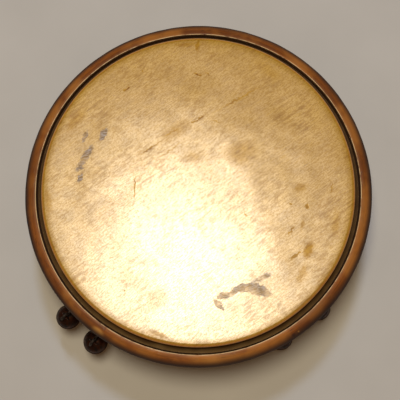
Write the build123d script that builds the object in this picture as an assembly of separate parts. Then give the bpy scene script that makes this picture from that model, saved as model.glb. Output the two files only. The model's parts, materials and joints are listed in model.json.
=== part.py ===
from build123d import *
import os
from math import asin, degrees, sqrt

"""A deep-framed tambourine: a skin head tucked on a flesh hoop, a rounded outer hoop nailed to a
bent-wood shell, pairs of jingles on pins in the shell's slots, and pellet bells on wire eyes.

Millimetres, +Z up. The origin is the centre of the face that the shell stands on, and the head is
uppermost. A feature at azimuth A is built on the +X side of the axis and then turned by A degrees.
"""

# ---------------------------------------------------------------- driving dimensions, mm
HEAD_RADIUS = 127.0  # over the turned-down skin: a 10 inch head
HEIGHT = 86.0  # standing face to head
SKIN = 0.8
SHELL_WALL = 5.7
SHELL_RADIUS = HEAD_RADIUS - SKIN
SHELL_INSIDE = SHELL_RADIUS - SHELL_WALL
SHELL_TOP = HEIGHT - SKIN
BEARING_ROUND = 2.2  # round on the shell's upper outer edge

HOOP_RADIUS = 143.0  # widest level of the outer hoop
HOOP_LEVEL = 69.2  # height of that level
HOOP_INSIDE = 132.7
HOOP_TOP = 77.4
HOOP_BOTTOM = 57.0
HOOP_FOOT_RADIUS = 138.0  # where the rounded side meets the flat underside
HOOP_LEDGE = 64.4  # top of the hoop's foot, under the flesh hoop

FLESH_TOP = 72.0
TUCK_START = 123.5  # radius where the flat head ends and its turned-down margin begins
BAND_WALL = 4.0
LOWER_BAND_HEIGHT = 12.0
UPPER_BAND_HEIGHT = 13.0
UPPER_BAND_TOP = SHELL_TOP - 1.0

NAIL_COUNT = 12
NAIL_HEIGHT = 60.6
NAIL_SHANK = 0.8
NAIL_HEAD = 2.2  # radius of the dome
NAIL_BITE = 3.5  # how far the point goes into the shell
NAIL_STAND = 1.6  # flat of the dome outside the hoop's foot radius

SLOT_AZIMUTHS = [25, 90, 155, 205, 335]
SLOT_WIDTH = 40.0
SLOT_HEIGHT = 14.0
SLOT_FLOOR = 22.0
SLOT_CORNER = 3.5
PIN_RADIUS = 1.25
PIN_CIRCLE = SHELL_RADIUS - SHELL_WALL / 2
PIN_HEAD_RADIUS = 2.15
PIN_HEAD_HEIGHT = 1.4
PIN_SINK = 0.4  # from the standing face up to the pin's head
PIN_BITE = 10.4  # how far the pin goes into the wood over the slot

JINGLE_RADIUS = 17.0
JINGLE_METAL = 0.7
JINGLE_DEPTH = 3.0  # rim to crown, over the metal's middle
JINGLE_HOLE = 2.0
JINGLE_GAP = 0.3  # between the two rims of a pair
SEAT_GAP = 0.1  # under the lower jingle

BELL_RADIUS = 9.8
BELL_METAL = 0.7
BELL_SEAM = 0.6  # how far the crimped seam stands out, and its half height
BELL_HEIGHT = 33.5  # ball centre above the standing face
BELL_SLIT = 2.0
SLIT_END_RADIUS = 2.1
SLIT_REACH = 0.72  # half the slit's length, as a share of the ball's radius
PELLET_RADIUS = 3.0
FREE_GAP = 0.3  # between pieces that move past each other
LOOP_RADIUS = 3.2
LOOP_WIRE = 0.8
EYE_RADIUS = 3.4
EYE_WIRE = 1.0
EYE_TAIL = 1.6  # how far the riveted end stands inside the shell
ROVE_RADIUS = 4.0
ROVE_THICKNESS = 0.9

# Azimuth of each bell and the radius that its eye holds it out to. The pair at 222.5 and
# 234.5 degrees is pulled outwards, and the others hang close to the shell.
BELLS = [
    (43, 138.0),
    (57, 138.0),
    (123, 138.0),
    (137, 138.0),
    (222.5, 150.0),
    (234.5, 150.0),
    (300, 137.2),
    (317, 138.0),
]

# ---------------------------------------------------------------- derived heights
LOOP_RISE = BELL_RADIUS - 0.2 + LOOP_RADIUS  # ball centre to loop centre
PIVOT_RISE = LOOP_RISE + LOOP_RADIUS  # ball centre to the top wire of the loop
EYE_RISE = PIVOT_RISE - LOOP_WIRE - EYE_WIRE - FREE_GAP + EYE_RADIUS
JINGLE_STAND = JINGLE_DEPTH + JINGLE_METAL / 2  # crown to rim plane
LOWER_RIM = SLOT_FLOOR + SEAT_GAP + JINGLE_STAND
UPPER_RIM = LOWER_RIM + JINGLE_METAL + JINGLE_GAP

STAND = (Align.CENTER, Align.CENTER, Align.MIN)


def turned(profile):
    """A solid of revolution about Z, from a face drawn with X as radius and Y as height."""
    return revolve(Plane.XZ * profile, Axis.Z)


def ring(inner, outer, low, high):
    """A plain ring of rectangular section."""
    width, height = outer - inner, high - low
    section = Pos((inner + outer) / 2, (low + high) / 2) * Rectangle(width, height)
    return turned(section)


def rod(radius, start, end, height):
    """A round rod that points outwards along X, from one radius to another."""
    return Pos(start, 0, height) * Rot(0, 90, 0) * Cylinder(radius, end - start, align=STAND)


def around(azimuth, shape):
    return Rot(0, 0, azimuth) * shape


def corner_near(face, x, y):
    """The vertex of a flat face that lies nearest to a point."""
    return face.vertices().sort_by_distance((x, y, 0))[0]


def save(name, shape):
    export_step(shape, f"parts/{name}.step")


# ---------------------------------------------------------------- hoop, flesh hoop and skin
def outer_hoop():
    """Bent wood: a rounded outside, an inner arris at the top, and a foot that meets the shell."""
    quarter = EllipticalCenterArc(
        (HOOP_INSIDE, HOOP_LEVEL),
        HOOP_RADIUS - HOOP_INSIDE,
        HOOP_TOP - HOOP_LEVEL,
        start_angle=0,
        arc_size=90,
    )
    side = TangentArc(
        (HOOP_RADIUS, HOOP_LEVEL), (HOOP_FOOT_RADIUS, HOOP_BOTTOM), tangent=(0, -1)
    )
    inside = Polyline(
        (HOOP_INSIDE, HOOP_TOP),
        (HOOP_INSIDE, HOOP_LEDGE),
        (SHELL_RADIUS, HOOP_LEDGE),
        (SHELL_RADIUS, HOOP_BOTTOM),
        (HOOP_FOOT_RADIUS, HOOP_BOTTOM),
    )
    return turned(make_face([*quarter.edges(), *side.edges(), *inside.edges()]))


def head_skin():
    """The head, its turned-down collar, and the part that is wrapped round the flesh hoop."""
    outside = HOOP_INSIDE
    wrap_top = FLESH_TOP + SKIN
    section = make_face(
        Polyline(
            (0, HEIGHT),
            (HEAD_RADIUS, HEIGHT),
            (HEAD_RADIUS, wrap_top),
            (outside, wrap_top),
            (outside, HOOP_LEDGE),
            (SHELL_RADIUS, HOOP_LEDGE),
            (SHELL_RADIUS, HOOP_LEDGE + SKIN),
            (outside - SKIN, HOOP_LEDGE + SKIN),
            (outside - SKIN, FLESH_TOP),
            (SHELL_RADIUS, FLESH_TOP),
            (SHELL_RADIUS, SHELL_TOP),
            (0, SHELL_TOP),
            close=True,
        )
    )
    section = fillet(corner_near(section, HEAD_RADIUS, HEIGHT), BEARING_ROUND + SKIN)
    section = fillet(corner_near(section, SHELL_RADIUS, SHELL_TOP), BEARING_ROUND)
    section = fillet(corner_near(section, HEAD_RADIUS, wrap_top), SKIN)
    section = fillet(corner_near(section, outside, wrap_top), SKIN)
    return turned(section)


def head_and_tuck():
    """The one skin as two nodes that meet: the flat head, and the margin backed by wood."""
    skin = head_skin()
    core = Cylinder(TUCK_START, 2 * HEIGHT, align=STAND)
    return skin & core, skin - core


# ---------------------------------------------------------------- jingles
def slot_cutter():
    """The rounded opening for a pair of jingles, through the wall on the +X side."""
    section = RectangleRounded(SLOT_WIDTH, SLOT_HEIGHT, SLOT_CORNER)
    middle = SLOT_FLOOR + SLOT_HEIGHT / 2
    depth = 4 * SHELL_WALL
    return Pos(PIN_CIRCLE - depth / 2, 0, middle) * extrude(Plane.YZ * section, depth)


def jingle_pin():
    """A headed pin, driven up through the lower edge of the shell and across the slot."""
    length = SLOT_FLOOR + SLOT_HEIGHT + PIN_BITE - PIN_SINK
    head = Cylinder(PIN_HEAD_RADIUS, PIN_HEAD_HEIGHT, align=STAND)
    return Pos(PIN_CIRCLE, 0, PIN_SINK) * (head + Cylinder(PIN_RADIUS, length, align=STAND))


def jingle(rim_height, crown):
    """A spun brass jingle on the +X pin. Its crown is 1 for up or -1 for down."""
    line = FilletPolyline(
        (JINGLE_HOLE, JINGLE_DEPTH),
        (JINGLE_RADIUS * 0.30, JINGLE_DEPTH),
        (JINGLE_RADIUS * 0.52, JINGLE_DEPTH * 0.32),
        (JINGLE_RADIUS, 0),
        radius=2.0,
    )
    disc = turned(trace(line, JINGLE_METAL))
    if crown < 0:
        disc = Rot(180, 0, 0) * disc
    return Pos(PIN_CIRCLE, 0, rim_height) * disc


# ---------------------------------------------------------------- pellet bells
def half_ball(upper):
    """One pressed half of a bell, centred on the origin, with its half of the crimped seam."""
    ball = Sphere(BELL_RADIUS) + Cylinder(BELL_RADIUS + BELL_SEAM, 2 * BELL_SEAM)
    hollow = Sphere(BELL_RADIUS - BELL_METAL)
    reach = 2 * BELL_RADIUS
    side = Align.MIN if upper else Align.MAX
    half = Box(2 * reach, 2 * reach, reach, align=(Align.CENTER, Align.CENTER, side))
    return (ball - hollow) & half


def bell_top():
    """The upper half with its wire loop, whose plane faces outwards."""
    loop = Pos(0, 0, LOOP_RISE) * Rot(0, 90, 0) * Torus(LOOP_RADIUS, LOOP_WIRE)
    return half_ball(True) + (loop - Sphere(BELL_RADIUS - BELL_METAL))


def bell_bottom():
    """The lower half, with the slit that lets the sound out and a round hole at each end."""
    cup = half_ball(False)
    end = BELL_RADIUS * SLIT_REACH
    drop = -sqrt(BELL_RADIUS**2 - end**2)
    lean = degrees(asin(SLIT_REACH))
    slit = Pos(0, 0, -BELL_RADIUS) * Box(BELL_SLIT, 2 * end, BELL_RADIUS * 1.3)
    cup -= slit
    for side in (-1, 1):
        drill = Rot(side * lean, 0, 0) * Cylinder(SLIT_END_RADIUS, 8 * BELL_METAL)
        cup -= Pos(0, side * end, drop) * drill
    return cup


def pellet():
    drop = BELL_RADIUS - BELL_METAL - FREE_GAP - PELLET_RADIUS
    return Pos(0, 0, -drop) * Sphere(PELLET_RADIUS)


def bell_eye(azimuth, radius):
    """A wire eye through the shell. Its hole faces sideways and the bell's loop hangs in it."""
    height = BELL_HEIGHT + EYE_RISE
    ring_part = Pos(radius, 0, height) * Rot(90, 0, 0) * Torus(EYE_RADIUS, EYE_WIRE)
    shank = rod(EYE_WIRE, SHELL_INSIDE - EYE_TAIL, radius - EYE_RADIUS, height)
    return around(azimuth, shank + ring_part)


def rove(azimuth):
    """The washer that an eye's inner end is riveted over."""
    height = BELL_HEIGHT + EYE_RISE
    face = SHELL_INSIDE - 0.1  # just clear of the curved wall
    washer = rod(ROVE_RADIUS, face - ROVE_THICKNESS, face, height)
    hole = rod(EYE_WIRE, face - 2 * ROVE_THICKNESS, face + ROVE_THICKNESS, height)
    return around(azimuth, washer - hole)


# ---------------------------------------------------------------- nails and shell
def hoop_nail(azimuth):
    """A domed nail through the hoop's foot into the shell."""
    flat = HOOP_FOOT_RADIUS + NAIL_STAND
    block = Box(4 * NAIL_HEAD, 4 * NAIL_HEAD, 2 * NAIL_HEAD, align=STAND)
    dome = Pos(flat, 0, NAIL_HEIGHT) * Rot(0, 90, 0) * (Sphere(NAIL_HEAD) & block)
    return around(azimuth, dome + rod(NAIL_SHANK, SHELL_RADIUS - NAIL_BITE, flat + 0.4, NAIL_HEIGHT))


def shell(fittings):
    """The bent-wood wall with its slots, and a hole for each thing that passes through it."""
    wall = make_face(
        Polyline(
            (SHELL_INSIDE, 0),
            (SHELL_RADIUS, 0),
            (SHELL_RADIUS, SHELL_TOP),
            (SHELL_INSIDE, SHELL_TOP),
            close=True,
        )
    )
    wall = fillet(corner_near(wall, SHELL_RADIUS, SHELL_TOP), BEARING_ROUND)
    solid = turned(wall)
    for azimuth in SLOT_AZIMUTHS:
        solid -= around(azimuth, slot_cutter())
    for fitting in fittings:
        solid -= fitting
    return solid


# ---------------------------------------------------------------- write every piece
os.makedirs("parts", exist_ok=True)

nails = [hoop_nail(15 + 360 / NAIL_COUNT * n) for n in range(NAIL_COUNT)]
pins = [around(azimuth, jingle_pin()) for azimuth in SLOT_AZIMUTHS]
eyes = [bell_eye(azimuth, radius) for azimuth, radius in BELLS]
roves = [rove(azimuth) for azimuth, radius in BELLS]
hoop = outer_hoop()
for nail in nails:
    hoop -= nail

save("shell", shell([*nails, *pins, *eyes]))
save("outer_hoop", hoop)
save("flesh_hoop", ring(SHELL_RADIUS, HOOP_INSIDE - SKIN, HOOP_LEDGE + SKIN, FLESH_TOP))
head, tuck = head_and_tuck()
save("head_skin", head)
save("skin_tuck", tuck)
save("lower_inner_band", ring(SHELL_INSIDE - BAND_WALL, SHELL_INSIDE, 0, LOWER_BAND_HEIGHT))
band_foot = UPPER_BAND_TOP - UPPER_BAND_HEIGHT
save("upper_inner_band", ring(SHELL_INSIDE - BAND_WALL, SHELL_INSIDE, band_foot, UPPER_BAND_TOP))
save("hoop_nails", Compound(nails))
save("jingle_pins", Compound(pins))
save("bell_eyes", Compound(eyes))
save("eye_roves", Compound(roves))

for number, azimuth in enumerate(SLOT_AZIMUTHS, start=1):
    save(f"jingle_lower_{number}", around(azimuth, jingle(LOWER_RIM, -1)))
    save(f"jingle_upper_{number}", around(azimuth, jingle(UPPER_RIM, 1)))

for number, (azimuth, radius) in enumerate(BELLS, start=1):
    place = Rot(0, 0, azimuth) * Pos(radius, 0, BELL_HEIGHT)
    save(f"bell_top_{number}", place * bell_top())
    save(f"bell_bottom_{number}", place * bell_bottom())
    save(f"bell_pellet_{number}", place * pellet())

print("bell pivot height", round(BELL_HEIGHT + PIVOT_RISE, 3))
print("jingle rims", round(LOWER_RIM, 3), round(UPPER_RIM, 3))
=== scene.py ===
# %% [markdown]
# # A deep-framed tambourine
#
# This lesson dresses a finished CAD model of an old tambourine. The CAD fixes every size, axis and
# place. Blender adds what a hand would notice: rubbed calfskin, steam-bent wood with worn varnish,
# spun brass and blackened bronze. A cell makes one piece or one finish.

# %% Load the fixed frame
import json
import math
import random

import bpy
from mathutils import Matrix, Vector, noise

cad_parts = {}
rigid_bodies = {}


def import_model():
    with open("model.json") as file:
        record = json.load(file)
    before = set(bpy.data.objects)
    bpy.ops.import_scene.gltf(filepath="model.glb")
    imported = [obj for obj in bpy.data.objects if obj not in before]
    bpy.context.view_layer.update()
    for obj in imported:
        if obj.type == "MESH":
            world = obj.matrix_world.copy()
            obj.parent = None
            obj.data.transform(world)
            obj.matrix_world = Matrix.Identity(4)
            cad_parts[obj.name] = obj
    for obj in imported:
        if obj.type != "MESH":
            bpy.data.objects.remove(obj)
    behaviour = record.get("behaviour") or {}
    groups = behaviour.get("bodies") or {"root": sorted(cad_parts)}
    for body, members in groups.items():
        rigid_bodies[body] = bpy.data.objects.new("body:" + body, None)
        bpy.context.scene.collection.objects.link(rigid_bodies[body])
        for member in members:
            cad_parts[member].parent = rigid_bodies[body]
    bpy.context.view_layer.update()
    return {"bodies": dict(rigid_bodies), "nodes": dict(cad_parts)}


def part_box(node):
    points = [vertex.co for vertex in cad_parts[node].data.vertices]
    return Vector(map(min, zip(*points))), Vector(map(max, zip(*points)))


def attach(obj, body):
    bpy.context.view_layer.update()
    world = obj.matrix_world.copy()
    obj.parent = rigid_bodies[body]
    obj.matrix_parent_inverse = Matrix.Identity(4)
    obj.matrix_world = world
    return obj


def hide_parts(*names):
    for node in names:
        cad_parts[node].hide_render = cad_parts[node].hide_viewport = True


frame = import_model()
MM = 0.001
FULL_TURN = math.tau
chance = random.Random(7)

# %% [markdown]
# Sizes come from the frame, so that a new pack moves the looks with it. Only what a box can't
# tell is named here again: thicknesses, and the radius of the hoop's inner edge.

# %% Sizes from the frame, in millimetres
def low(node, axis):
    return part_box(node)[0][axis] / MM


def high(node, axis):
    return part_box(node)[1][axis] / MM


X, Y, Z = 0, 1, 2
HEAD_TOP = high("head_skin", Z)
WRAP_RADIUS = round(high("skin_tuck", X), 1)
WRAP_FOOT = low("skin_tuck", Z)
SHELL_RADIUS = round(high("shell", X), 1)
SHELL_TOP = high("shell", Z)
HOOP_RADIUS = round(high("outer_hoop", X), 1)
HOOP_TOP = high("outer_hoop", Z)
HOOP_FOOT = low("outer_hoop", Z)
SKIN = 0.8
WALL = 5.7
SHELL_INSIDE = SHELL_RADIUS - WALL
HEAD_RADIUS = SHELL_RADIUS + SKIN
HOOP_LEVEL = 69.2
HOOP_INSIDE = WRAP_RADIUS
SCARF = math.radians(237)
print("head radius", HEAD_RADIUS, "hoop", HOOP_INSIDE, "to", HOOP_RADIUS, "height", round(HEAD_TOP, 1))

# %% [markdown]
# The camera looks almost straight down, 10 degrees off the drum's axis, from 0.7 m. A long lens
# keeps the rim nearly round. Its sideways axis stays level, so the picture has no roll.

# %% Camera
AIM = Vector((1.6, -7.2, HOOP_LEVEL)) * MM
EYE = Vector((12.9, -127.3, HOOP_LEVEL + 703.5)) * MM
bpy.ops.object.camera_add(location=EYE)
camera = bpy.context.object
view = (AIM - EYE).normalized()
across = view.cross(Vector((0, 1, 0))).normalized()
upward = across.cross(view)
turn = Matrix((across, upward, -view)).transposed()
camera.matrix_world = Matrix.LocRotScale(EYE, turn, None)
camera.data.sensor_width = 36
camera.data.lens = 78
bpy.context.scene.camera = camera
print("camera to head:", round((EYE.z - HEAD_TOP * MM), 3), "m")

# %% [markdown]
# Colours are written as sRGB hex, as a paint chart gives them, and one function turns them to
# linear light. One more function adds a node with its settings and its links.

# %% Colour and node helpers
def linear(hex_colour):
    channels = [int(hex_colour[i : i + 2], 16) / 255 for i in (1, 3, 5)]
    return [c / 12.92 if c <= 0.04045 else ((c + 0.055) / 1.055) ** 2.4 for c in channels] + [1]


def add(tree, kind, inputs=None, stops=None, **settings):
    """Adds one node. An input's value is a number, a hex colour or another node's output."""
    new = tree.nodes.new("ShaderNode" + kind)
    for name, value in settings.items():
        setattr(new, name, value)
    for name, value in (inputs or {}).items():
        if isinstance(value, bpy.types.NodeSocket):
            tree.links.new(value, new.inputs[name])
        else:
            new.inputs[name].default_value = linear(value) if isinstance(value, str) else value
    if stops:
        ramp = new.color_ramp.elements
        while len(ramp) < len(stops):
            ramp.new(1.0)
        for stop, (place, colour) in zip(ramp, stops):
            stop.position = place
            stop.color = linear(colour) if isinstance(colour, str) else [colour] * 3 + [1]
    return new


def new_material(name):
    made = bpy.data.materials.new(name)
    made.use_nodes = True
    tree = made.node_tree
    shader = tree.nodes["Principled BSDF"]
    place = add(tree, "TexCoord").outputs["Object"]
    in_mm = add(tree, "Mapping", {"Vector": place, "Scale": (1 / MM,) * 3}).outputs[0]
    return made, tree, shader, in_mm


def finish_with(tree, shader, **sockets):
    for name, value in sockets.items():
        socket = shader.inputs[name.replace("_", " ")]
        if isinstance(value, bpy.types.NodeSocket):
            tree.links.new(value, socket)
        else:
            socket.default_value = value


# %% [markdown]
# Almost every piece here is turned or bent round an axis. Each starts as a small plane merged to
# one point, which is extruded along an outline of radius and height and then spun, as a potter's
# rib would shape it. Meshing the outline by hand keeps the edges exactly where the CAD has them.

# %% Modelling helpers
def only(piece):
    bpy.ops.object.select_all(action="DESELECT")
    piece.select_set(True)
    bpy.context.view_layer.objects.active = piece


def arc(across_mm, up_mm, radius, start, end, steps=6):
    """Points on a round from one angle to another, in degrees, about a centre."""
    turns = [math.radians(start + (end - start) * n / steps) for n in range(steps + 1)]
    return [(across_mm + radius * math.cos(a), up_mm + radius * math.sin(a)) for a in turns]


def lathe(name, outline, steps=256, smooth=35):
    """Spins an outline of (radius, height) points in mm about Z. A closed ring repeats its first."""
    bpy.ops.object.select_all(action="DESELECT")
    bpy.ops.mesh.primitive_plane_add(size=MM)
    piece = bpy.context.object
    piece.name = piece.data.name = name
    bpy.ops.object.mode_set(mode="EDIT")
    bpy.ops.mesh.select_mode(type="VERT")
    bpy.ops.mesh.select_all(action="SELECT")
    bpy.ops.mesh.merge(type="CENTER")
    bpy.ops.transform.translate(value=(outline[0][0] * MM, 0, outline[0][1] * MM))
    for (r0, z0), (r1, z1) in zip(outline, outline[1:]):
        step = ((r1 - r0) * MM, 0, (z1 - z0) * MM)
        bpy.ops.mesh.extrude_region_move(TRANSFORM_OT_translate={"value": step})
    bpy.ops.mesh.select_all(action="SELECT")
    bpy.ops.mesh.spin(steps=steps, angle=FULL_TURN, center=(0, 0, 0), axis=(0, 0, 1))
    bpy.ops.mesh.select_all(action="SELECT")
    bpy.ops.mesh.remove_doubles(threshold=0.002 * MM)
    bpy.ops.mesh.normals_make_consistent(inside=False)
    bpy.ops.object.mode_set(mode="OBJECT")
    bpy.ops.object.shade_smooth_by_angle(angle=math.radians(smooth))
    return piece


def settle(piece, place=(0, 0, 0), turn=(0, 0, 0)):
    """Moves and turns a piece (mm, radians) and puts that into its mesh, so it sits at the origin."""
    only(piece)
    piece.location = Vector(place) * MM
    piece.rotation_euler = turn
    bpy.ops.object.transform_apply(location=True, rotation=True, scale=True)
    return piece


def copy_of(piece, name):
    only(piece)
    bpy.ops.object.duplicate()
    twin = bpy.context.object
    twin.name = twin.data.name = name
    return twin


def joined(name, pieces):
    only(pieces[0])
    for piece in pieces:
        piece.select_set(True)
    bpy.ops.object.join()
    pieces[0].name = pieces[0].data.name = name
    return pieces[0]


def cut(piece, cutter):
    """Takes the cutter's space out of a piece and throws the cutter away."""
    only(piece)
    saw = piece.modifiers.new("cut", "BOOLEAN")
    saw.operation = "DIFFERENCE"
    saw.solver = "EXACT"
    saw.object = cutter
    bpy.ops.object.modifier_apply(modifier="cut")
    bpy.data.objects.remove(cutter)


def sculpt(piece, move):
    """Moves every point of a mesh by a rule that takes and gives millimetres."""
    for vertex in piece.data.vertices:
        vertex.co = Vector(move(vertex.co / MM)) * MM
    piece.data.update()


def dress(piece, material, slot, body, *nodes):
    """Gives a finished piece its material, its body and the CAD nodes that it stands for."""
    piece.data.materials.clear()
    piece.data.materials.append(material)
    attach(piece, body)
    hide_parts(*nodes)
    print(piece.name, len(piece.data.polygons), "faces")


# %% [markdown]
# ## Calfskin
#
# A calfskin head is scraped, soaked, lapped on a hoop and dried drum-tight. Age turns it from
# cream to gold, and hands polish it. It keeps the grain of the hide: pores, fibre streaks that run
# one way, and stains from sweat. The texture is drawn from noise at real sizes, in millimetres.
# The marks are ellipses that a Mapping node shrinks, turns and places, so each costs a few nodes.

# %% Calfskin marks
# Each is (bearing, reach, length, width, turn, strength). The bearing is in degrees from +X, the
# reach is a share of the head's radius. Lengths and widths are in mm.
BROWN_MARKS = [
    (90, 0.95, 15, 5, 80, 0.75),
    (95, 0.95, 24, 4.5, 5, 0.45),
    (90, 0.75, 9, 2, -10, 1.3),
    (85, 0.75, 6, 1.6, -50, 0.85),
    (125, 0.8, 8, 2.2, 40, 1.6),
    (115, 0.85, 2.6, 2, 30, 0.7),
    (140, 0.4, 30, 2, 35, 0.6),
    (115, 0.4, 28, 2, 30, 0.6),
    (90, 0.45, 18, 2, 30, 1.0),
    (75, 0.45, 15, 1.5, -15, 0.6),
    (65, 0.65, 60, 2.2, 30, 0.5),
    # Painted shadow beside the long scratch.
    (110, 0.4, 46, 16, 35, 0.3),
    (125, 0.3, 30, 1.8, 35, 0.4),
    (40, 0.35, 34, 28, 15, 0.32),
    (100, 0.2, 26, 12, 10, 0.3),
    (0, 0.65, 16, 10, 20, 0.4),
    (-10, 0.6, 2.4, 2.2, 0, 0.9),
    (-10, 0.7, 4.6, 5.4, 60, 1.2),
    (-20, 0.7, 5, 14, -15, 0.4),
    (-30, 0.8, 10, 19, -20, 0.65),
    (-35, 0.75, 15, 2.6, 40, 0.9),
    (-25, 0.65, 13, 2.4, 50, 0.6),
    (-40, 0.85, 24, 9, 60, 0.4),
    (-30, 0.35, 6, 1.7, -60, 0.6),
    (180, 0.4, 2, 24, 0, 0.8),
    (235, 0.8, 2.8, 2.6, 0, 1.1),
    (250, 0.75, 30, 20, 55, 0.22),
    (255, 0.95, 24, 6, -20, 0.5),
    (185, 0.95, 8, 30, 10, 0.35),
    (0, 0.85, 14, 1.6, 80, 0.5),
    (-15, 0.9, 9, 26, -10, 0.35),
    (150, 0.9, 34, 12, 50, 0.35),
    (60, 0.9, 40, 14, -40, 0.25),
]
# Blue-grey rubs, where the skin was scuffed through and has gone dull.
GREY_MARKS = [
    (-60, 0.75, 27, 11, -15, 1.0),
    (-65, 0.7, 27, 8.5, 10, 1.0),
    (-75, 0.7, 22, 6.5, 15, 0.9),
    (-80, 0.75, 16, 5.5, -50, 0.9),
    (165, 0.75, 32, 7, 60, 0.7),
    (175, 0.75, 11, 5, 60, 0.6),
    (150, 0.7, 14, 7, 60, 0.5),
    (155, 0.8, 14, 4.5, 70, 0.6),
    (-55, 0.7, 28, 7, 25, 0.3),
]
# Pale creases painted as highlights, where the hide was folded once and the light catches the ridge.
PALE_MARKS = [
    (240, 0.75, 62, 2.4, 50, 1.0),
    (240, 0.85, 40, 1.6, 55, 0.8),
    (5, 0.9, 3.4, 2.4, 80, 1.0),
]


# %% Calfskin material
def marks(tree, place, wanted):
    """The strongest of several soft ellipses at each point, 0 to 1."""
    strongest = 0.0
    for bearing, reach, length, width, turn, strength in wanted:
        along = math.radians(bearing)
        x = reach * HEAD_RADIUS * math.cos(along)
        y = reach * HEAD_RADIUS * math.sin(along)
        oval = add(
            tree,
            "Mapping",
            {
                "Vector": place,
                "Location": (x, y, 0),
                "Rotation": (0, 0, math.radians(turn)),
                "Scale": (length / 2, width / 2, 1000),
            },
            vector_type="TEXTURE",
        )
        spot = add(tree, "TexGradient", {"Vector": oval.outputs[0]}, gradient_type="SPHERICAL")
        scaled = {"Value": spot.outputs["Fac"], "From Max": 0.7, "To Max": strength}
        soft = add(tree, "MapRange", scaled, interpolation_type="SMOOTHSTEP").outputs[0]
        strongest = add(tree, "Math", {0: soft, 1: strongest}, operation="MAXIMUM").outputs[0]
    return strongest


# Lays stains and grain, and also painted shade and painted highlights.
def lay_colour(tree, tone, colour, *strengths):
    """Lays a colour over a tone, as strongly as the product of the given strengths."""
    amount = strengths[0]
    for strength in strengths[1:]:
        amount = add(tree, "Math", {0: amount, 1: strength}, operation="MULTIPLY").outputs[0]
    return add(tree, "Mix", {0: amount, 6: tone, 7: colour}, data_type="RGBA").outputs[2]


def grain(tree, place, size, detail=4.0, low_edge=0.4, high_edge=0.6, turn=0.0, stretch=1.0):
    """Noise with features of a size in mm, drawn out along one direction, cut to 0 to 1."""
    turned = add(tree, "Mapping", {"Vector": place, "Rotation": (0, 0, -turn)}).outputs[0]
    squeezed = {"Vector": turned, "Scale": (1 / (size * stretch), 1 / size, 1 / size)}
    fitted = add(tree, "Mapping", squeezed).outputs[0]
    cloud = add(tree, "TexNoise", {"Vector": fitted, "Scale": 1.0, "Detail": detail})
    edges = {"Value": cloud.outputs["Fac"], "From Min": low_edge, "From Max": high_edge}
    return add(tree, "MapRange", edges).outputs[0]


calfskin, tree, shader, in_mm = new_material("aged_calfskin")
split = add(tree, "SeparateXYZ", {0: in_mm}).outputs
out = add(tree, "CombineXYZ", {"X": split["X"], "Y": split["Y"]}).outputs[0]
radius = add(tree, "VectorMath", {0: out}, operation="LENGTH").outputs["Value"]
FIBRE = math.radians(40)

wobble = add(tree, "TexNoise", {"Vector": out, "Scale": 0.35, "Detail": 3.0}).outputs["Color"]
centred = add(tree, "VectorMath", {0: wobble, 1: (0.5, 0.5, 0.5)}, operation="SUBTRACT").outputs[0]
pushed = add(tree, "VectorMath", {0: centred, 3: 5.0}, operation="SCALE").outputs[0]
ragged = add(tree, "VectorMath", {0: out, 1: pushed}, operation="ADD").outputs[0]

clouds = grain(tree, out, 42, 5, 0.32, 0.70)
dapple = grain(tree, out, 9, 6, 0.40, 0.66)
streaks = grain(tree, out, 0.8, 3, 0.48, 0.60, FIBRE, 6)
long_streaks = grain(tree, out, 1.6, 3, 0.46, 0.66, math.radians(33), 18)
scratches = grain(tree, out, 0.7, 2, 0.665, 0.70, math.radians(30), 26)
hide = grain(tree, out, 1.5, 5, 0.50, 0.57)
pores = grain(tree, out, 1.1, 2, 0.60, 0.66)
specks = grain(tree, out, 1.7, 3, 0.64, 0.72)
near_edge = add(tree, "MapRange", {"Value": radius, "From Min": 70.0, "From Max": 124.0}).outputs[0]
broken = add(tree, "MapRange", {"Value": dapple, "To Min": 0.4, "To Max": 1.0}).outputs[0]
grime = grain(tree, out, 2.6, 6, 0.47, 0.62, math.radians(36), 4)
where_dirty = grain(tree, out, 38, 3, 0.47, 0.60)

tone = lay_colour(tree, "#A37A14", "#B88F24", clouds)
tone = lay_colour(tree, tone, "#80571A", dapple, 0.3)
tone = lay_colour(tree, tone, "#6E4715", streaks, 0.24)
tone = lay_colour(tree, tone, "#D2AC50", long_streaks, 0.25)
tone = lay_colour(tree, tone, "#704A1A", hide, 0.2)
tone = lay_colour(tree, tone, "#643B14", pores, 0.4)
tone = lay_colour(tree, tone, "#6C4019", grime, where_dirty, 0.42)
tone = lay_colour(tree, tone, "#5E3A1A", scratches, 0.5)
tone = lay_colour(tree, tone, "#8A4A1B", specks, near_edge, 0.95)
brown = marks(tree, ragged, BROWN_MARKS)
smudged = add(tree, "MapRange", {"Value": grime, "To Min": 0.35, "To Max": 1.0}).outputs[0]
tone = lay_colour(tree, tone, "#6B3A1C", brown, broken, smudged)
# Painted highlights on the creases.
pale = marks(tree, out, PALE_MARKS)
tone = lay_colour(tree, tone, "#E6CC8C", pale, 0.5)
grey = marks(tree, ragged, GREY_MARKS)
torn = add(tree, "MapRange", {"Value": grey, "From Min": 0.14, "From Max": 0.34}).outputs[0]
worn = add(tree, "Math", {0: torn, 1: broken}, operation="MULTIPLY").outputs[0]
halo = add(tree, "MapRange", {"Value": grey, "From Min": 0.03, "From Max": 0.16}).outputs[0]
tone = lay_colour(tree, tone, "#4B3F3A", halo, broken, 0.7)
smeared = grain(tree, out, 1.2, 3, 0.40, 0.60, math.radians(15), 3)
tone = lay_colour(tree, tone, lay_colour(tree, "#5A5654", "#A3A7B2", smeared), worn, 0.85)
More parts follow.
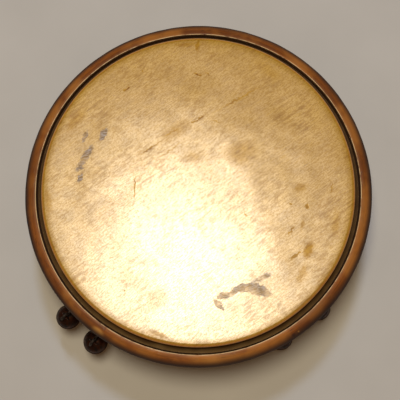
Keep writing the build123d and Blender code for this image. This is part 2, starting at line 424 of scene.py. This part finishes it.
# Painted shade: a deeper orange where the head's edge curves down over the shell.
EDGE_START = HEAD_RADIUS - 2.6
EDGE_END = HEAD_RADIUS - 0.6
edge = {"Value": radius, "From Min": EDGE_START, "From Max": EDGE_END}
turn_down_shade = add(tree, "MapRange", edge, interpolation_type="SMOOTHSTEP").outputs[0]
tone = lay_colour(tree, tone, "#C98532", turn_down_shade, 0.7)
# Painted shade: the turned-over margin darkens to near black down into the recess, over skin that is
# stained darker there.
depth = {"Value": split["Z"], "From Min": HEAD_TOP - 1.6, "From Max": HEAD_TOP - 5.0}
sunk_shade = add(tree, "MapRange", depth, interpolation_type="SMOOTHSTEP").outputs[0]
tone = lay_colour(tree, tone, "#2E1F17", sunk_shade)

# The coat is taken off the brown marks, the rubs and the painted recess shade.
marks_rubs_and_shade = add(tree, "Math", {0: brown, 1: worn}, operation="MAXIMUM").outputs[0]
marks_rubs_and_shade = add(tree, "Math", {0: marks_rubs_and_shade, 1: sunk_shade}, operation="MAXIMUM").outputs[0]
gloss = add(tree, "MapRange", {"Value": dapple, "To Min": 0.36, "To Max": 0.46}).outputs[0]
rubs = add(tree, "Math", {0: hide, 1: 0.7, 2: streaks}, operation="MULTIPLY_ADD").outputs[0]
rubs = add(tree, "Math", {0: dapple, 1: 0.25, 2: rubs}, operation="MULTIPLY_ADD").outputs[0]
rubs = add(tree, "Math", {0: pores, 1: rubs}, operation="ADD").outputs[0]
patchy = add(tree, "Math", {0: grime, 1: where_dirty}, operation="MULTIPLY").outputs[0]
rubs = add(tree, "Math", {0: patchy, 1: rubs}, operation="ADD").outputs[0]
polish = {"Value": rubs, "From Max": 1.5, "To Min": 1.0, "To Max": 0.45}
polish = add(tree, "MapRange", polish).outputs[0]
polish = {"Value": marks_rubs_and_shade, "From Max": 0.6, "To Min": polish, "To Max": 0.12}
polish = add(tree, "MapRange", polish).outputs[0]
raised = add(tree, "Math", {0: streaks, 1: pores}, operation="ADD").outputs[0]
relief = add(tree, "Bump", {"Strength": 0.15, "Distance": 0.05 * MM, "Height": raised})
creases = add(tree, "Math", {0: pale, 1: brown}, operation="SUBTRACT").outputs[0]
normal = {"Strength": 0.35, "Distance": 0.12 * MM, "Height": creases, "Normal": relief.outputs[0]}
folded = add(tree, "Bump", normal).outputs[0]
finish_with(tree, shader, Base_Color=tone, Roughness=gloss, Normal=folded, IOR=1.5)
finish_with(tree, shader, Specular_IOR_Level=0.7, Specular_Tint=linear("#FFC65C"))
# The coat mirrors more than real skin does, so that the soft box shows as a broad glow.
finish_with(tree, shader, Coat_Weight=polish, Coat_Roughness=0.28, Coat_IOR=2.15)
print("calfskin nodes:", len(tree.nodes))

# %% [markdown]
# ## Bent wood
#
# The hoop and the shell are thin boards, steamed and bent, so their grain runs round the drum.
# Object coordinates are therefore turned into arc length, radius and height. Angle has a seam
# somewhere, and it is put at the scarf, where a real hoop's grain breaks too.

# %% Bent-wood materials
def round_the_drum(tree, place, seam):
    """Coordinates in mm along the bend, outwards and up, with the break in the grain at a seam."""
    turned = add(tree, "Mapping", {"Vector": place, "Rotation": (0, 0, math.pi - seam)}).outputs[0]
    axes = add(tree, "SeparateXYZ", {0: turned}).outputs
    flat = add(tree, "CombineXYZ", {"X": axes["X"], "Y": axes["Y"]}).outputs[0]
    away = add(tree, "VectorMath", {0: flat}, operation="LENGTH").outputs["Value"]
    angle = add(tree, "Math", {0: axes["Y"], 1: axes["X"]}, operation="ARCTAN2").outputs[0]
    along = add(tree, "Math", {0: angle, 1: HOOP_RADIUS}, operation="MULTIPLY").outputs[0]
    bent = add(tree, "CombineXYZ", {"X": along, "Y": away, "Z": axes["Z"]}).outputs[0]
    return bent, away, axes["Z"]


def bent_wood(name, light, dark, pore, fibre=0.8, rough=(0.32, 0.5)):
    """Ring-porous wood bent to a hoop: figure, fibre and open pores, all along the bend."""
    made, tree, shader, in_mm = new_material(name)
    bent, away, height = round_the_drum(tree, in_mm, SCARF)
    figure = grain(tree, bent, 5.5, 4, 0.35, 0.65, 0.0, 26)
    fine = grain(tree, bent, fibre, 4, 0.38, 0.66, 0.0, 30)
    vessels = grain(tree, bent, 0.5, 2, 0.60, 0.66, 0.0, 14)
    mottle = grain(tree, in_mm, 17, 4, 0.35, 0.68)
    tone = lay_colour(tree, light, dark, figure)
    tone = lay_colour(tree, tone, dark, fine, 0.45)
    tone = lay_colour(tree, tone, dark, mottle, 0.35)
    tone = lay_colour(tree, tone, pore, vessels, 0.7)
    gloss = {"Value": mottle, "To Min": rough[0], "To Max": rough[1]}
    gloss = add(tree, "MapRange", gloss).outputs[0]
    rise = add(tree, "Math", {0: fine, 1: vessels}, operation="ADD").outputs[0]
    bump = {"Strength": 0.4, "Distance": 0.06 * MM, "Height": rise}
    relief = add(tree, "Bump", bump, invert=True).outputs[0]
    return made, tree, shader, in_mm, tone, gloss, relief, away, height


# Long patches on the hoop, in the same terms as the marks on the head: darker ones, then lighter
# ones, which are painted highlights on the varnish, save one small pale fleck.
HOOP_SHADES = [(175, 1.1, 110, 30, 90, 0.7), (-45, 1.1, 80, 30, 45, 0.7), (-57, 1.1, 5, 3.6, 35, 2.0)]
HOOP_LIGHTS = [(235, 1.1, 15, 8, 145, 1.3), (-55, 1.1, 2.4, 2.0, 0, 1.5), (-80, 1.1, 90, 16, 5, 0.4)]
# The hoop: beech under amber varnish, with a pale line along the top of its inner edge,
# and painted shade on its outer side and on its inner wall in the groove.
hoop_wood, tree, shader, in_mm, tone, gloss, relief, away, height = bent_wood(
    "worn_varnished_beech_hoop", "#A25E22", "#673612", "#301608"
)
handled = grain(tree, in_mm, 24, 3, 0.42, 0.6)
outwards = {"Value": away, "From Min": HOOP_RADIUS - 6.5, "From Max": HOOP_RADIUS - 1.0}
outer_side_shade = add(tree, "MapRange", outwards, interpolation_type="SMOOTHSTEP").outputs[0]
tone = lay_colour(tree, tone, "#B97A35", handled, 0.45)
tone = lay_colour(tree, tone, "#4A230E", marks(tree, in_mm, HOOP_SHADES), 0.6)
# Painted highlights on the varnish, and one small pale fleck.
tone = lay_colour(tree, tone, "#C58C44", marks(tree, in_mm, HOOP_LIGHTS), 0.75)
# Painted shade darkens the hoop's outer side. That side is also made rougher below.
tone = lay_colour(tree, tone, "#20100A", outer_side_shade, 0.92)
inwards = {"Value": away, "From Min": HOOP_INSIDE + 0.75, "From Max": HOOP_INSIDE + 0.15}
inner = add(tree, "MapRange", inwards, interpolation_type="SMOOTHSTEP").outputs[0]
topmost = {"Value": height, "From Min": HOOP_TOP - 1.2, "From Max": HOOP_TOP - 0.5}
crest = add(tree, "MapRange", topmost, interpolation_type="SMOOTHSTEP").outputs[0]
pale_arris_noise = grain(tree, in_mm, 5, 3, 0.30, 0.52)
below = {"Value": height, "From Min": HOOP_TOP - 0.6, "From Max": HOOP_TOP - 1.6}
groove_wall_shade = add(tree, "MapRange", below).outputs[0]
# Painted shade on the hoop's inner wall, down in the groove.
tone = lay_colour(tree, tone, "#6B5240", inner, groove_wall_shade, 0.8)
# A pale line along the top of the inner edge, broken up by noise.
tone = lay_colour(tree, tone, "#E3C08A", inner, crest, pale_arris_noise, 0.9)
gloss = {"Value": outer_side_shade, "To Min": gloss, "To Max": 0.75}
gloss = add(tree, "MapRange", gloss).outputs[0]
finish_with(tree, shader, Base_Color=tone, Roughness=gloss, Normal=relief, IOR=1.5)

shell_wood, tree, shader, in_mm, tone, gloss, relief, away, height = bent_wood(
    "shellacked_ash_shell", "#96602F", "#6B3F1B", "#2C170B", 1.1, (0.3, 0.46)
)
inside = {"Value": away, "From Min": SHELL_INSIDE + 1.4, "From Max": SHELL_INSIDE + 0.3}
bare = add(tree, "MapRange", inside).outputs[0]
tone = lay_colour(tree, tone, "#B08A5A", bare, 0.75)
finish_with(tree, shader, Base_Color=tone, Roughness=gloss, Normal=relief, IOR=1.5)

band_wood, tree, shader, in_mm, tone, gloss, relief, away, height = bent_wood(
    "bare_bent_ash_bands", "#B79468", "#8C6A42", "#4B321D", 1.0, (0.55, 0.75)
)
finish_with(tree, shader, Base_Color=tone, Roughness=gloss, Normal=relief, IOR=1.5)

# %% [markdown]
# ## Metals
#
# Old brass is a metal under a thin brown tarnish: where fingers rub, it stays yellow. The pellet
# bells are bronze blackened all over, with a little red-brown showing on their high places. The
# wires and pins are forged iron, dark and matt.

# %% Metal materials
def old_metal(name, bright, tarnish, spot_mm, rough, amount, shine=1.0):
    made, tree, shader, in_mm = new_material(name)
    film = grain(tree, in_mm, spot_mm, 5, 0.36, 0.62)
    flecks = grain(tree, in_mm, spot_mm / 6, 3, 0.5, 0.68)
    both = add(tree, "Math", {0: film, 1: flecks}, operation="MAXIMUM").outputs[0]
    tone = lay_colour(tree, bright, tarnish, both, amount)
    dull = {"Value": both, "To Min": rough[0], "To Max": rough[1]}
    gloss = add(tree, "MapRange", dull).outputs[0]
    metal = {"Value": both, "To Min": shine, "To Max": shine * 0.7}
    metal = add(tree, "MapRange", metal).outputs[0]
    pits = {"Strength": 0.3, "Distance": 0.05 * MM, "Height": flecks}
    relief = add(tree, "Bump", pits, invert=True).outputs[0]
    finish_with(tree, shader, Base_Color=tone, Roughness=gloss, Metallic=metal, Normal=relief)
    return made


aged_brass = old_metal("tarnished_spun_brass", "#C9A257", "#6F4E22", 6.0, (0.26, 0.5), 0.75)
dark_bronze = old_metal("blackened_bronze", "#4E2C1C", "#17100D", 3.0, (0.38, 0.62), 0.95)
iron_wire = old_metal("blackened_iron_wire", "#4A4440", "#2A1E18", 2.5, (0.4, 0.65), 0.8)

# %% [markdown]
# ## The head
#
# A sheet of skin this tight is flat, but never quite: it sinks a few tenths of a millimetre and
# cockles where the hide was thicker. Those low waves break up a reflection, so they are modelled in
# the mesh. The margin turns over the shell, runs down to the flesh hoop and is lapped round it.

# %% Head
RIM_ROUND = 3.0
INNER_ROUND = RIM_ROUND - SKIN
WRAP_TOP = 72.8
LAP_ROUND = 1.4
HEAD_UNDER = HEAD_TOP - SKIN
rings = [(4.0 * n, HEAD_TOP) for n in range(int((HEAD_RADIUS - RIM_ROUND) / 4) + 1)]
rim = arc(HEAD_RADIUS - RIM_ROUND, HEAD_TOP - RIM_ROUND, RIM_ROUND, 90, 0, 8)
lap = arc(WRAP_RADIUS - LAP_ROUND, WRAP_TOP - LAP_ROUND, LAP_ROUND, 90, 0, 4)
under = arc(HEAD_RADIUS - RIM_ROUND, HEAD_TOP - RIM_ROUND, INNER_ROUND, 0, 90, 5)
head = lathe(
    "skin_head",
    rings
    + rim
    + [(HEAD_RADIUS, z) for z in (80.0, 77.0, 74.4)]
    + [(HEAD_RADIUS + 0.5, WRAP_TOP + 0.4), (HEAD_RADIUS + 1.6, WRAP_TOP)]
    + lap
    + [(WRAP_RADIUS, 68.5), (WRAP_RADIUS, WRAP_FOOT), (SHELL_RADIUS, WRAP_FOOT)]
    + [(SHELL_RADIUS, WRAP_FOOT + SKIN), (WRAP_RADIUS - SKIN, WRAP_FOOT + SKIN)]
    + [(WRAP_RADIUS - SKIN, WRAP_TOP - SKIN), (SHELL_RADIUS, WRAP_TOP - SKIN)]
    + under
    + [(r, HEAD_UNDER) for r, z in reversed(rings)],
    steps=288,
)


def cockle(point):
    """Sinks and ripples the flat head, and puckers its lapped margin a little."""
    away = math.hypot(point.x, point.y)
    flat = max(0.0, 1 - (away / (HEAD_RADIUS - 1)) ** 2)
    if point.z > HEAD_UNDER - 0.1:
        waves = noise.noise(point / 33) * 0.5 + noise.noise(point / 13) * 0.16
        return point.x, point.y, point.z - (0.35 + 0.5 * waves) * min(1, 2.5 * flat)
    if away < HEAD_RADIUS + 0.6:
        return point.x, point.y, point.z
    turn = math.atan2(point.y, point.x)
    pleat = noise.noise(Vector((math.cos(turn), math.sin(turn), 0)) * 26) * 0.35
    return point.x, point.y, point.z + pleat * (point.z > 71.0)


sculpt(head, cockle)
dress(head, calfskin, "calfskin", "frame", "head_skin", "skin_tuck")

# %% [markdown]
# ## The outer hoop
#
# One strip of beech, shaped to a quarter round, bent and closed with a scarf: a long slanting
# joint that is glued and nailed. The joint is a real saw cut here, because a painted line would
# vanish as soon as the light moved. The hoop is nailed to the shell with domed brass tacks.

# %% Outer hoop with its scarf
ACROSS = HOOP_RADIUS - HOOP_INSIDE
RISE = HOOP_TOP - HOOP_LEVEL
FOOT_RADIUS = 138.0
LEDGE = 64.4
EASE = 0.45
SCARF_CUT = (26, 0.35, 1.0)  # length, width and depth
SCARF_SLANT = math.radians(32)


def quarter(angle):
    return (
        HOOP_INSIDE + ACROSS * math.cos(math.radians(angle)),
        HOOP_LEVEL + RISE * math.sin(math.radians(angle)),
    )


drop = HOOP_LEVEL - HOOP_FOOT
inset = HOOP_RADIUS - FOOT_RADIUS
SIDE_ROUND = (inset**2 + drop**2) / (2 * inset)
side_end = -math.degrees(math.asin(drop / SIDE_ROUND))
side = arc(HOOP_RADIUS - SIDE_ROUND, HOOP_LEVEL, SIDE_ROUND, side_end, 0, 8)
outline = (
    [(FOOT_RADIUS - 0.6, HOOP_FOOT)]
    + side
    + [quarter(a) for a in range(8, 84, 8)]
    + arc(HOOP_INSIDE + EASE, HOOP_TOP - EASE, EASE, 80, 180, 4)
    + [(HOOP_INSIDE, 74.0), (HOOP_INSIDE, LEDGE), (SHELL_RADIUS, LEDGE), (SHELL_RADIUS, HOOP_FOOT)]
    + [(FOOT_RADIUS - 0.6, HOOP_FOOT)]
)
hoop = lathe("hoop_ring", outline, steps=320, smooth=50)


def handled_hoop(point):
    """Dents and flats from handling, a tenth or two of a millimetre, all inwards."""
    away = math.hypot(point.x, point.y)
    if away < HOOP_INSIDE + 0.05:
        return point
    dent = 0.12 + 0.18 * noise.noise(point / 19) + 0.1 * noise.noise(point / 6)
    scale = 1 - max(0.0, dent) / away
    return point.x * scale, point.y * scale, point.z - 0.5 * max(0.0, dent) * (point.z > HOOP_LEVEL)


sculpt(hoop, handled_hoop)
bpy.ops.mesh.primitive_cube_add(size=MM)
saw = bpy.context.object
saw.scale = SCARF_CUT
saw_place = Vector((math.cos(SCARF), math.sin(SCARF), 0)) * (HOOP_INSIDE + ACROSS / 2)
settle(saw, (saw_place.x, saw_place.y, HOOP_TOP - 0.1), (0, 0, SCARF + SCARF_SLANT))
cut(hoop, saw)
dress(hoop, hoop_wood, "hoop_wood", "frame", "outer_hoop")

# %% [markdown]
# ## Tacks
#
# Domed brass tacks hold the hoop. One is turned and dented, then copied round the hoop. A copy is
# turned a little about its own axis, because hand-driven tacks never line up.

# %% Tacks round the hoop
TACKS = 12
TACK_HEIGHT = 60.6
TACK_FLAT = 139.6
TACK_HEAD = 2.2
dome = arc(0, 0, TACK_HEAD, 90, 12, 7) + [(TACK_HEAD, 0.15), (TACK_HEAD - 0.2, -0.1), (0.8, -0.1)]
tack = lathe("tack", dome + [(0.8, -5.0), (0, -5.6)], steps=28)


def dented(point):
    hit = 0.16 * max(0.0, noise.noise(point * 0.55 + Vector((3, 1, 7))))
    return point.x, point.y, point.z - hit * max(0.0, point.z)


sculpt(tack, dented)
tacks = []
for number in range(TACKS):
    azimuth = math.radians(15 + 360 / TACKS * number)
    twin = settle(copy_of(tack, "tack_copy"), turn=(0, 0, chance.uniform(0, FULL_TURN)))
    settle(twin, turn=(0, math.radians(90), 0))
    out = Vector((math.cos(azimuth), math.sin(azimuth), 0)) * TACK_FLAT
    tacks.append(settle(twin, (out.x, out.y, TACK_HEIGHT), (0, 0, azimuth)))
bpy.data.objects.remove(tack)
dress(joined("hoop_tacks", tacks), aged_brass, "aged_brass", "frame", "hoop_nails")

# %% [markdown]
# ## The shell
#
# The shell is one ash board bent to a ring. Its slots were sawn and rasped, so their edges are
# eased. A boolean cuts them, because a slot has to go square through a curved wall. A small bevel
# then eases every hard edge at once.

# %% Shell with its slots and holes
SLOT_AZIMUTHS = [25, 90, 155, 205, 335]
SLOT_WIDTH, SLOT_HEIGHT, SLOT_FLOOR, SLOT_ROUND = 40.0, 14.0, 22.0, 3.5
PIN_CIRCLE = SHELL_RADIUS - WALL / 2
EDGE = 0.45
BEARING = 2.2
PIN_BORE, PIN_DEPTH = 2.2, 1.9


def slot_cutter(azimuth):
    """A block as wide and high as a slot, with its long corners rounded, set across the wall."""
    bpy.ops.object.select_all(action="DESELECT")
    bpy.ops.mesh.primitive_cube_add(size=MM)
    block = bpy.context.object
    block.scale = (4 * WALL, SLOT_WIDTH, SLOT_HEIGHT)
    settle(block)
    bpy.ops.object.mode_set(mode="EDIT")
    bpy.ops.mesh.select_mode(type="EDGE")
    bpy.ops.mesh.select_all(action="DESELECT")
    bpy.ops.object.mode_set(mode="OBJECT")
    for edge in block.data.edges:
        edge.select = is_along_x(block.data, edge)
    bpy.ops.object.mode_set(mode="EDIT")
    bpy.ops.mesh.bevel(offset=SLOT_ROUND * MM, segments=6)
    bpy.ops.object.mode_set(mode="OBJECT")
    turn = math.radians(azimuth)
    out = Vector((math.cos(turn), math.sin(turn), 0)) * PIN_CIRCLE
    return settle(block, (out.x, out.y, SLOT_FLOOR + SLOT_HEIGHT / 2), (0, 0, turn))


def is_along_x(mesh, edge):
    start, end = (mesh.vertices[n].co for n in edge.vertices)
    return abs(start.y - end.y) < 1e-6 and abs(start.z - end.z) < 1e-6


def pin_hole(azimuth):
    turn = math.radians(azimuth)
    hole = lathe("pin_hole", [(0, -1), (PIN_BORE, -1), (PIN_BORE, PIN_DEPTH), (0, PIN_DEPTH)], steps=24)
    return settle(hole, (PIN_CIRCLE * math.cos(turn), PIN_CIRCLE * math.sin(turn), 0))


wall = (
    [(SHELL_INSIDE + 0.01, 0)]
    + [(SHELL_RADIUS, 0)]
    + [(SHELL_RADIUS, z) for z in (8, 17, 29, 41, 50, HOOP_FOOT, 70)]
    + arc(SHELL_RADIUS - BEARING, SHELL_TOP - BEARING, BEARING, 0, 90, 5)
    + [(SHELL_INSIDE + 0.01, SHELL_TOP)]
    + [(SHELL_INSIDE + 0.01, z) for z in (70, 50, 41, 29, 17, 8, 0)]
)
shell = lathe("shell_wall", wall, steps=240)
slots = [slot_cutter(azimuth) for azimuth in SLOT_AZIMUTHS]
pin_holes = [pin_hole(azimuth) for azimuth in SLOT_AZIMUTHS]
cut(shell, joined("cutters", slots + pin_holes))
only(shell)
ease = shell.modifiers.new("ease", "BEVEL")
ease.width = EDGE * MM
ease.segments = 2
ease.limit_method = "ANGLE"
ease.angle_limit = math.radians(40)
ease.use_clamp_overlap = False
bpy.ops.object.modifier_apply(modifier="ease")
bpy.ops.object.shade_smooth_by_angle(angle=math.radians(35))
dress(shell, shell_wood, "shell_wood", "frame", "shell")

# %% [markdown]
# ## Inner bands
#
# Two thin bands stiffen the shell from inside. Each is a strip whose ends meet in a sloping joint,
# cut here as a narrow kerf.

# %% Inner bands
BAND = 4.0
KERF = (7.0, 0.5, 30.0)
KERF_SLANT = math.radians(48)


def inner_band(name, node, joint_azimuth):
    foot, top = low(node, Z), high(node, Z)
    inner, outer, soft = SHELL_INSIDE - BAND, SHELL_INSIDE, 0.9
    section = (
        arc(inner + soft, top - soft, soft, 90, 180, 4)
        + arc(inner + soft, foot + soft, soft, 180, 270, 4)
        + [(outer, foot), (outer, top), (inner + soft, top)]
    )
    band = lathe(name, section, steps=224)
    bpy.ops.object.select_all(action="DESELECT")
    bpy.ops.mesh.primitive_cube_add(size=MM)
    kerf = bpy.context.object
    kerf.scale = KERF
    azimuth = math.radians(joint_azimuth)
    out = Vector((math.cos(azimuth), math.sin(azimuth), 0)) * (inner + 0.4)
    settle(kerf, turn=(KERF_SLANT, 0, 0))
    settle(kerf, (out.x, out.y, (foot + top) / 2), (0, 0, azimuth))
    cut(band, kerf)
    dress(band, band_wood, "band_wood", "frame", node)


inner_band("lower_band", "lower_inner_band", 118)
inner_band("upper_band", "upper_inner_band", 64)

# %% [markdown]
# ## Jingles
#
# A jingle is a brass disc pressed to a shallow cup. The tool leaves fine rings, and years of
# clashing bend it slightly. One is made, and each copy is spun to a new angle on its pin, so no
# two show the same dents.

# %% Jingles
JINGLE_RADIUS, JINGLE_DEPTH, JINGLE_HALF = 17.0, 3.0, 0.35
CROWN, SLOPE, BRIM = 4.8, 5.0, 9.4
GROOVES, GROOVE_WIDTH, GROOVE_DEPTH = (11.6, 14.9), 0.35, 0.13


def cup_line(radius):
    """Height of the metal's middle: a flat crown, a smooth slope and a flat brim."""
    slope = min(1.0, max(0.0, (radius - CROWN) / SLOPE))
    eased = slope * slope * (3 - 2 * slope)
    brim = min(1.0, max(0.0, (radius - BRIM) / (JINGLE_RADIUS - BRIM)))
    return JINGLE_DEPTH * (1 - 0.72 * eased - 0.28 * eased * brim)


def tooled(radius):
    """Two shallow grooves and a fine spinning mark on the upper face."""
    groove = sum(math.exp(-(((radius - r) / GROOVE_WIDTH) ** 2)) for r in GROOVES)
    return -GROOVE_DEPTH * groove + 0.02 * math.sin(radius * 9.0)


radii = [2.0 + 0.3 * n for n in range(50)]
upper_face = [(r, cup_line(r) + JINGLE_HALF + tooled(r)) for r in radii]
brim_edge = arc(JINGLE_RADIUS - 0.33, cup_line(JINGLE_RADIUS), 0.33, 70, -70, 4)
lower_face = [(r, cup_line(r) - JINGLE_HALF) for r in reversed(radii[::4])]
jingle = lathe("jingle", upper_face + brim_edge + lower_face + upper_face[:1], steps=96, smooth=50)


def warped(point):
    dent = noise.noise(Vector((point.x, point.y, 0)) / 9) * 0.12
    return point.x, point.y, point.z + dent * min(1, math.hypot(point.x, point.y) / 12)


sculpt(jingle, warped)
for number, azimuth in enumerate(SLOT_AZIMUTHS, start=1):
    turn = math.radians(azimuth)
    out = Vector((math.cos(turn), math.sin(turn), 0)) * PIN_CIRCLE
    for side, flip in (("lower", math.pi), ("upper", 0)):
        node = f"jingle_{side}_{number}"
        rim = high(node, Z) - JINGLE_HALF if flip else low(node, Z) + JINGLE_HALF
        spun = (flip, 0, chance.uniform(0, FULL_TURN))
        disc = settle(copy_of(jingle, f"jingle_{side}_disc_{number}"), (out.x, out.y, rim), spun)
        dress(disc, aged_brass, "aged_brass", f"{side}_jingle_{number}", node)
bpy.data.objects.remove(jingle)

# %% [markdown]
# ## Pellet bells
#
# A pellet bell is two pressed cups crimped together, with a slit below and an iron pellet inside.
# The ball is a solid first. Its inside, its slit and the two round ends of the slit are then cut
# out of it in turn, so that the wall has a true thickness where the slit shows it.

# %% Pellet bells
BELL = 9.8
BELL_WALL = 0.7
SLIT_WIDTH, SLIT_REACH = 2.0, 0.72
DRILL, DRILL_HALF = 2.1, 3
SEAM_OUT, SEAM_HALF = 0.6, 0.6
LOOP_RADIUS, LOOP_WIRE, LOOP_RISE = 3.2, 0.8, 12.8


def scored(angle):
    """Radius of the ball at an angle above its seam: round, with two turned lines on each half."""
    lines = sum(math.exp(-(((abs(angle) - place) / 1.6) ** 2)) for place in (21, 52))
    return BELL - 0.14 * lines


seam_angle = math.degrees(math.asin(SEAM_HALF / BELL))
steps_up = [90 - 3 * n for n in range(29)]
upper = [(scored(a) * math.cos(math.radians(a)), scored(a) * math.sin(math.radians(a))) for a in steps_up]
crimp = arc(BELL + 0.05, 0.32, 0.55, 60, -30, 4) + arc(BELL + 0.05, -0.32, 0.5, 30, -60, 4)
half = [(max(0.0, r), z) for r, z in upper if z > SEAM_HALF + 0.25]
bell = lathe("bell", half + crimp + [(r, -z) for r, z in reversed(half)], steps=64)
hollow = lathe("hollow", arc(0, 0, BELL - BELL_WALL, 90, -90, 24), steps=48)
cut(bell, hollow)
bpy.ops.object.select_all(action="DESELECT")
bpy.ops.mesh.primitive_cube_add(size=MM)
slit = bpy.context.object
slit.scale = (SLIT_WIDTH, 2 * SLIT_REACH * BELL, 1.3 * BELL)
cut(bell, settle(slit, (0, 0, -BELL)))
for side in (-1, 1):
    rod = [(0, -DRILL_HALF), (DRILL, -DRILL_HALF), (DRILL, DRILL_HALF), (0, DRILL_HALF)]
    drill = lathe("drill", rod, steps=32)
    end = SLIT_REACH * BELL
    lean = side * math.asin(SLIT_REACH)
    cut(bell, settle(drill, (0, side * end, -math.sqrt(BELL**2 - end**2)), (lean, 0, 0)))


def battered(point):
    """Small dents, so that the ball isn't a perfect sphere."""
    dent = 0.22 * noise.noise(point / 5 + Vector((11, 4, 2))) - 0.06
    return point * (1 + min(0.0, dent) / BELL)


sculpt(bell, battered)
wire_ring = arc(LOOP_RADIUS, 0, LOOP_WIRE, 0, 360, 10)
loop = lathe("loop", wire_ring, steps=40, smooth=60)


def sprung(point):
    """Pinches the wire ring towards its feet, as a loop of wire is bent to enter the ball."""
    pinch = 1 - 0.22 * min(1, max(0.0, -point.x / LOOP_RADIUS))
    return point.x, point.y * pinch, point.z


sculpt(loop, sprung)
settle(loop, turn=(0, math.radians(-90), 0))
bell = joined("bell", [bell, settle(loop, (0, 0, LOOP_RISE))])
for body in [name for name in frame["bodies"] if name.startswith("bell_")]:
    number = body.split("_")[1]
    node = f"bell_bottom_{number}"
    place = (Vector(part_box(node)[0]) + Vector(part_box(node)[1])) / 2 / MM
    azimuth = math.atan2(place.y, place.x)
    height = high(node, Z) - SEAM_HALF
    ball = copy_of(bell, f"bell_shell_{number}")
    settle(ball, turn=(0, 0, azimuth + math.pi * chance.randint(0, 1)))
    settle(ball, (place.x, place.y, height))
    dress(ball, dark_bronze, "dark_bronze", body, f"bell_top_{number}", node)
bpy.data.objects.remove(bell)

# %% [markdown]
# ## Pieces whose CAD shape is already right
#
# Wires, pins, roves and pellets are plain round things in iron and brass. Their CAD meshes are
# kept, and only their finish is new.

# %% Finish the kept CAD pieces
KEPT = [("jingle_pins", iron_wire), ("bell_eyes", iron_wire), ("bell_pellet", iron_wire)]
KEPT += [("eye_roves", aged_brass), ("flesh_hoop", band_wood)]
for start, finish in KEPT:
    for name, node in frame["nodes"].items():
        if name.startswith(start):
            node.data.materials.clear()
            node.data.materials.append(finish)
            print(name, "is now", finish.name)

# %% [markdown]
# ## Floor and light
#
# A plain pale floor takes the shadow. Warm light fills the whole room, and a cooler lamp from the
# far side casts the one soft shadow. A soft box hangs where the head mirrors it to the camera, and
# gives the broad glow on the skin.

# %% Floor and light
bpy.ops.mesh.primitive_plane_add(size=6)
floor = bpy.context.object
floor.name = "floor"
floor_paint, tree, shader, in_mm = new_material("pale_floor")
patch = grain(tree, in_mm, 90, 3, 0.3, 0.7)
finish_with(tree, shader, Base_Color=lay_colour(tree, "#BCB9B3", "#C2BFB9", patch), Roughness=0.8)
floor.data.materials.append(floor_paint)

room = bpy.data.worlds.new("room")
bpy.context.scene.world = room
room.use_nodes = True
room.node_tree.nodes["Background"].inputs["Color"].default_value = linear("#FFCB96")
room.node_tree.nodes["Background"].inputs["Strength"].default_value = 0.17


def lamp(name, place, toward, size, watts, colour):
    bpy.ops.object.light_add(type="AREA", location=place)
    made = bpy.context.object
    made.name = name
    made.rotation_euler = (Vector(toward) - Vector(place)).to_track_quat("-Z", "Y").to_euler()
    made.data.size = size
    made.data.energy = watts
    made.data.color = linear(colour)[:3]
    return made


SOFT_BOX_AWAY, WINDOW_AWAY = 1.25, 3.2
HEAD_SPOT = Vector((-0.009, -0.058, HEAD_TOP * MM))
to_eye = EYE - HEAD_SPOT
MIRRORED = Vector((-to_eye.x, -to_eye.y, to_eye.z)).normalized()
soft_box = lamp("soft_box", HEAD_SPOT + MIRRORED * SOFT_BOX_AWAY, HEAD_SPOT, 0.29, 9.2, "#FFF3D8")
soft_box.data.shape = "ELLIPSE"
soft_box.data.size_y = 0.43
SHADOW_LEAN = Vector((0.01, 0.48, 0.87)).normalized()
window = lamp("window", SHADOW_LEAN * WINDOW_AWAY, (0, 0, 0), 0.35, 32, "#BFD8FF")
window.visible_glossy = False
bpy.context.scene.view_settings.view_transform = "Standard"
